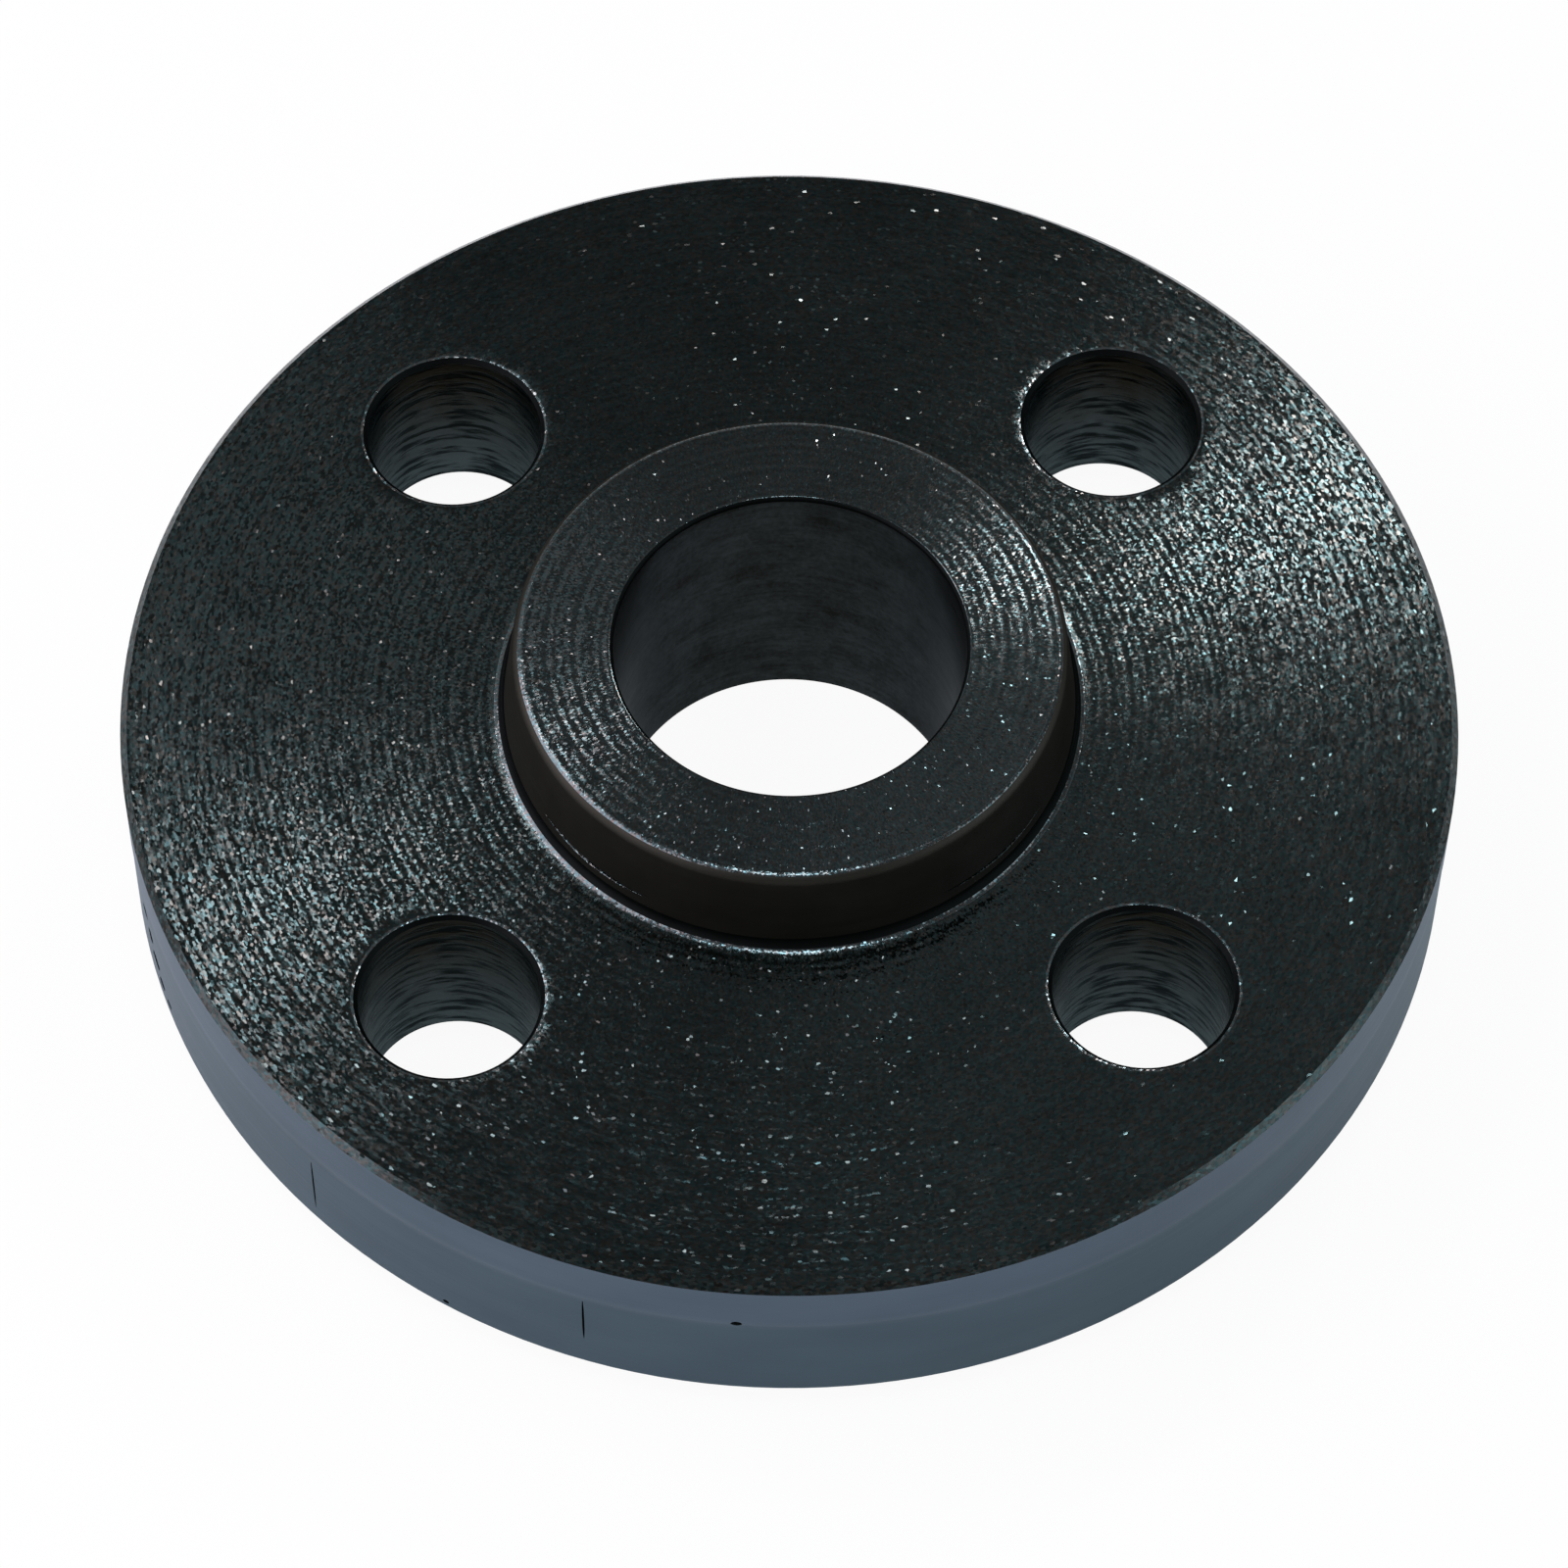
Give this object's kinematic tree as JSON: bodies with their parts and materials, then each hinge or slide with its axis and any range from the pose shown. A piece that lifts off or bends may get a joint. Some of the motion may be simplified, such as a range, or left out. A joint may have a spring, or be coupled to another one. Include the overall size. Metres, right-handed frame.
{
  "type": "slip on flange",
  "caption": "Round steel slip-on pipe flange with a short tapered hub, a straight pipe bore, a raised gasket face and drilled bolt holes.",
  "frame": {"origin": "centre of the raised gasket face, on the bore's axis", "axes": "+Z along the bore from the gasket face to the hub, X and Y midway between the bolt holes"},
  "size_m": [0.105, 0.105, 0.026],
  "materials": {
    "turned_steel": "steel under a near-black oxide, turned all over: fine concentric tool marks and sparkling grain on the faces, satin blue-grey rim"
  },
  "bodies": {
    "root": {"flange": "turned_steel"}
  },
  "joints": []
}
